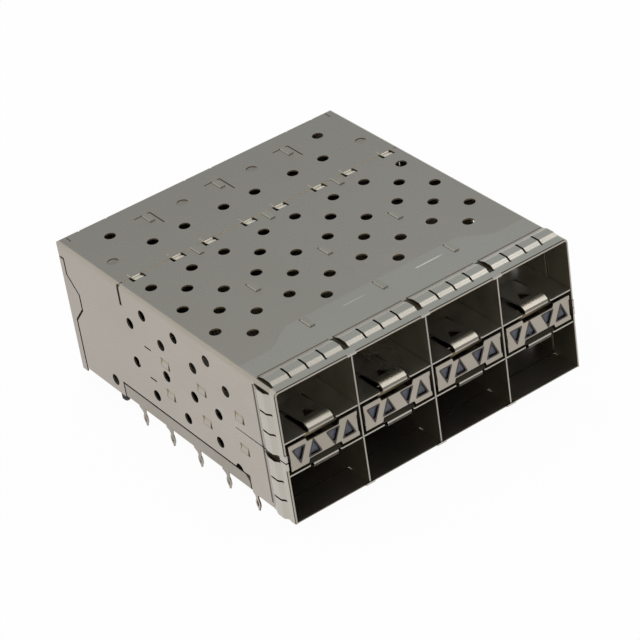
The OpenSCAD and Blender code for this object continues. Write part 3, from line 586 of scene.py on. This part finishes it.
def clear_pipe():
    """Clear moulded plastic, slightly blue and cloudy, with painted brown shade on the sides of the pipes
    behind the mouth.
    """
    finish = Finish("clear_pipe", transmission_weight=0.55, ior=1.5)
    cloud = finish.noise((500.0, 160.0, 500.0), detail=2.0)
    y = finish.place()[1]
    # painted brown shade on the pipes' sides behind the mouth
    sides = y.above(MOUTH + 0.5) * y.below(MOUTH + 12)
    colour = finish.mix(cloud, tone(118, 122, 138), tone(92, 95, 112))
    finish.put(
        base_color=finish.mix(sides, colour, tone(84, 74, 58)),
        roughness=0.25 + cloud * 0.2,
    )
    return finish.material


# ---- Sky and floor ----

SKY = [                                       # by the sine of the height above the horizon
    (0.0, (1.0, 1.0, 1.0, 1)),
    (0.10, (1.0, 1.0, 1.0, 1)),
    (0.24, (0.42, 0.45, 0.47, 1)),
    (0.45, (0.36, 0.39, 0.41, 1)),
    (0.57, (0.64, 0.695, 0.73, 1)),
    (0.80, (0.75, 0.77, 0.78, 1)),
    (1.0, (0.8, 0.8, 0.8, 1)),
]


def white_sky():
    """White to the eye. The cage is lit white from the horizon, grey above it, and lighter from the left."""
    world = bpy.data.worlds.new("studio")
    bpy.context.scene.world = world
    sky = Graph(world)
    sideways, _, height = sky.split(sky.node("ShaderNodeTexCoord", output="Generated"))
    glow = sky.node("ShaderNodeValToRGB", {"stops": SKY}, {0: height})
    sides = sky.mix(sideways.ramp(0.34, 0.56), (0.93, 0.92, 0.90, 1), (1.07, 1.08, 1.08, 1))
    glow = sky.mix(1.0, glow, sides, "MULTIPLY")
    glow = sky.mix(sideways.ramp(0.2, -0.15), glow, (0.95, 0.95, 0.93, 1))
    shown = sky.mix(sky.rays("Is Camera Ray"), glow, (1, 1, 1, 1))
    light = sky.node("ShaderNodeBackground", inputs={"Color": shown, "Strength": 1.0})
    sky.end("ShaderNodeOutputWorld", light)


def white_floor():
    """A floor at the pin tips: white to the eye and in the metal, and matt paper to all other light."""
    bm = bmesh.new()
    bmesh.ops.create_grid(bm, x_segments=1, y_segments=1, size=1.5)
    bmesh.ops.translate(bm, verts=bm.verts, vec=(0, 0, PIN_TIP * MM))
    mesh = bpy.data.meshes.new("floor")
    bm.to_mesh(mesh)
    bm.free()
    floor = bpy.data.objects.new("floor", mesh)
    bpy.context.scene.collection.objects.link(floor)
    paper = bpy.data.materials.new("paper")
    ground = Graph(paper)
    seen = ground.rays("Is Camera Ray", "Is Glossy Ray", "Is Transmission Ray")
    matt = ground.node("ShaderNodeBsdfDiffuse", inputs={"Color": (0.86, 0.86, 0.86, 1)})
    white = ground.node("ShaderNodeEmission", inputs={"Color": (1, 1, 1, 1), "Strength": 1.0})
    both = ground.node("ShaderNodeMixShader", inputs={0: seen * 0.96, 1: matt, 2: white})
    ground.end("ShaderNodeOutputMaterial", both)
    mesh.materials.append(paper)


# ---- The finished scene ----


def dress(prefix, material):
    """Gives a material to every node whose name starts with the prefix."""
    for name, node in NODES.items():
        if name.startswith(prefix):
            for slot in node.material_slots:
                slot.material = material


add_camera()
bpy.context.scene.view_settings.view_transform = "Standard"
white_sky()
white_floor()
add_lamp(
    "softbox_over",
    place=(0.46, -0.09, 0.62),
    target=(0.02, -0.09, 0.02),
    size=(0.26, 0.36),
    power=0.34,
    colour=(1.0, 0.98, 0.97),
)
add_lamp(
    "softbox_front",
    place=(-0.25, -0.75, 0.45),
    target=(0, 0, 0.01),
    size=(0.5, 0.3),
    power=0.8,
    colour=(1.0, 0.98, 0.95),
)

dress("cage_shell", cage_sheet())
dress("bottom_plate", floor_sheet())
dress("divider", divider_sheet())
dress("core_plates", core_sheet())
dress("face_plate", face_sheet())
dress("gasket", spring_strip())
dress("connector", moulded_black("black_moulding", tone(26, 26, 28)))
dress("tail_guide", moulded_black("guide_moulding", tone(34, 34, 36)))
dress("contacts", gold_plating())
dress("light_pipes", clear_pipe())
